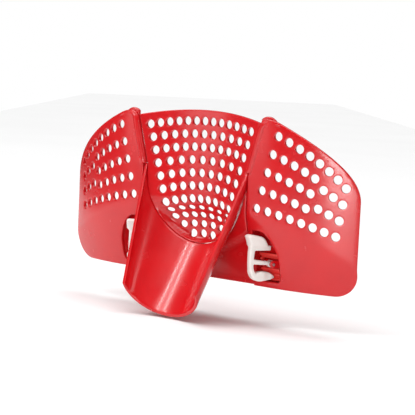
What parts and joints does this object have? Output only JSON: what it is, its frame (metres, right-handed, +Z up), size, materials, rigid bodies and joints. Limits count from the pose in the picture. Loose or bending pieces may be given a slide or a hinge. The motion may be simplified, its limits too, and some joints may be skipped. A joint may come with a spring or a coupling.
{
  "type": "clip-on pot strainer",
  "caption": "Clip-on pot strainer: perforated centre wall and two swept wings, a pouring spout in front, and sprung clips that hold it on a pot's rim.",
  "frame": {"origin": "where the rim of the pot that the clips hold crosses the strainer's mirror plane", "axes": "+X to the strainer's right seen from the spout, along its longest side; +Y into the pot, away from the spout; +Z up"},
  "size_m": [0.2528, 0.0576, 0.1447],
  "materials": {
    "red_plastic": "glossy saturated red moulding with soft highlights",
    "red_ribbed": "glossy red, ribbed for grip",
    "white_plastic": "satin warm white moulding",
    "steel": "plain wire and rod"
  },
  "bodies": {
    "strainer": {"centre_strainer": "red_plastic", "pour_spout": "red_plastic", "rim_skirt": "red_plastic", "left_hinge_pin": "steel", "right_hinge_pin": "steel"},
    "left_wing": {"left_wing": "red_plastic", "left_clip_pocket": "red_plastic", "left_grip_pad": "red_ribbed", "left_clip_pin": "steel", "left_clip_spring": "steel"},
    "left_clip": {"left_clip": "white_plastic"},
    "right_wing": {"right_wing": "red_plastic", "right_clip_pocket": "red_plastic", "right_grip_pad": "red_ribbed", "right_clip_pin": "steel", "right_clip_spring": "steel"},
    "right_clip": {"right_clip": "white_plastic"}
  },
  "joints": [
    {"name": "left_wing_fold", "type": "hinge", "parent": "strainer", "child": "left_wing", "pos_m": [-0.0497, -0.00925, 0.0535], "axis": [0, 0, -1], "range_deg": [-4, 6]},
    {"name": "left_clip_open", "type": "hinge", "parent": "left_wing", "child": "left_clip", "pos_m": [-0.06054, -0.00216, 0.0018], "axis": [-0.8829, -0.4695, 0], "range_deg": [0, 8], "stiffness_Nm_per_rad": 0.03, "springref_deg": -20.05},
    {"name": "right_wing_fold", "type": "hinge", "parent": "strainer", "child": "right_wing", "pos_m": [0.0497, -0.00925, 0.0535], "axis": [0, 0, 1], "range_deg": [-4, 6]},
    {"name": "right_clip_open", "type": "hinge", "parent": "right_wing", "child": "right_clip", "pos_m": [0.06054, -0.00216, 0.0018], "axis": [-0.8829, 0.4695, 0], "range_deg": [0, 8], "stiffness_Nm_per_rad": 0.03, "springref_deg": -20.05}
  ]
}
